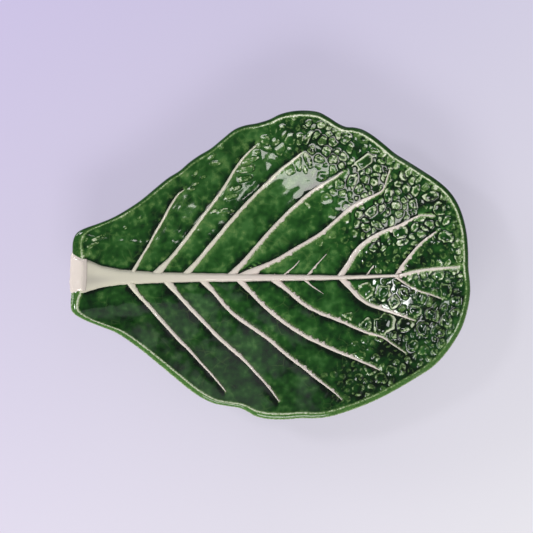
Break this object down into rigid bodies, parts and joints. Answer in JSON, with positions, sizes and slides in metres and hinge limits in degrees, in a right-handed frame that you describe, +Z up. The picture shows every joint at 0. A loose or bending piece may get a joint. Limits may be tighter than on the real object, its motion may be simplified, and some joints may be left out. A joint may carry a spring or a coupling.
{
  "type": "leaf shaped plate",
  "caption": "Dished serving plate shaped like a cabbage leaf, with a rolled rim, a raised midrib and side ribs, puckers near its tip, a cut stem end and an oval foot ring.",
  "frame": {"origin": "middle of the leaf's outline, on the plane that the foot ring stands on", "axes": "+X along the midrib from the cut stem end to the leaf's tip, +Y across the leaf towards the top of the picture, +Z up"},
  "size_m": [0.2508, 0.193, 0.0421],
  "materials": {
    "green_glaze": "glossy translucent green glaze, darker where it pools and paler where it breaks over the relief",
    "cream_glaze": "glossy cream glaze",
    "rib_glaze": "glossy cream glaze with a pinkish cast",
    "bare_clay": "matt unglazed foot"
  },
  "bodies": {
    "root": {"leaf_blade": "green_glaze", "foot_ring": "bare_clay", "midrib": "cream_glaze", "stem_end": "cream_glaze", "upper_rib_1": "rib_glaze", "upper_rib_2": "rib_glaze", "upper_rib_3": "rib_glaze", "upper_rib_4": "rib_glaze", "upper_rib_5": "rib_glaze", "upper_rib_6": "rib_glaze", "lower_rib_1": "rib_glaze", "lower_rib_2": "rib_glaze", "lower_rib_3": "rib_glaze", "lower_rib_4": "rib_glaze", "lower_rib_5": "rib_glaze", "lower_rib_6": "rib_glaze", "tip_rib_upper": "rib_glaze", "tip_rib_middle": "rib_glaze", "tip_rib_lower": "rib_glaze", "veinlets": "rib_glaze", "puckers": "green_glaze"}
  },
  "joints": []
}
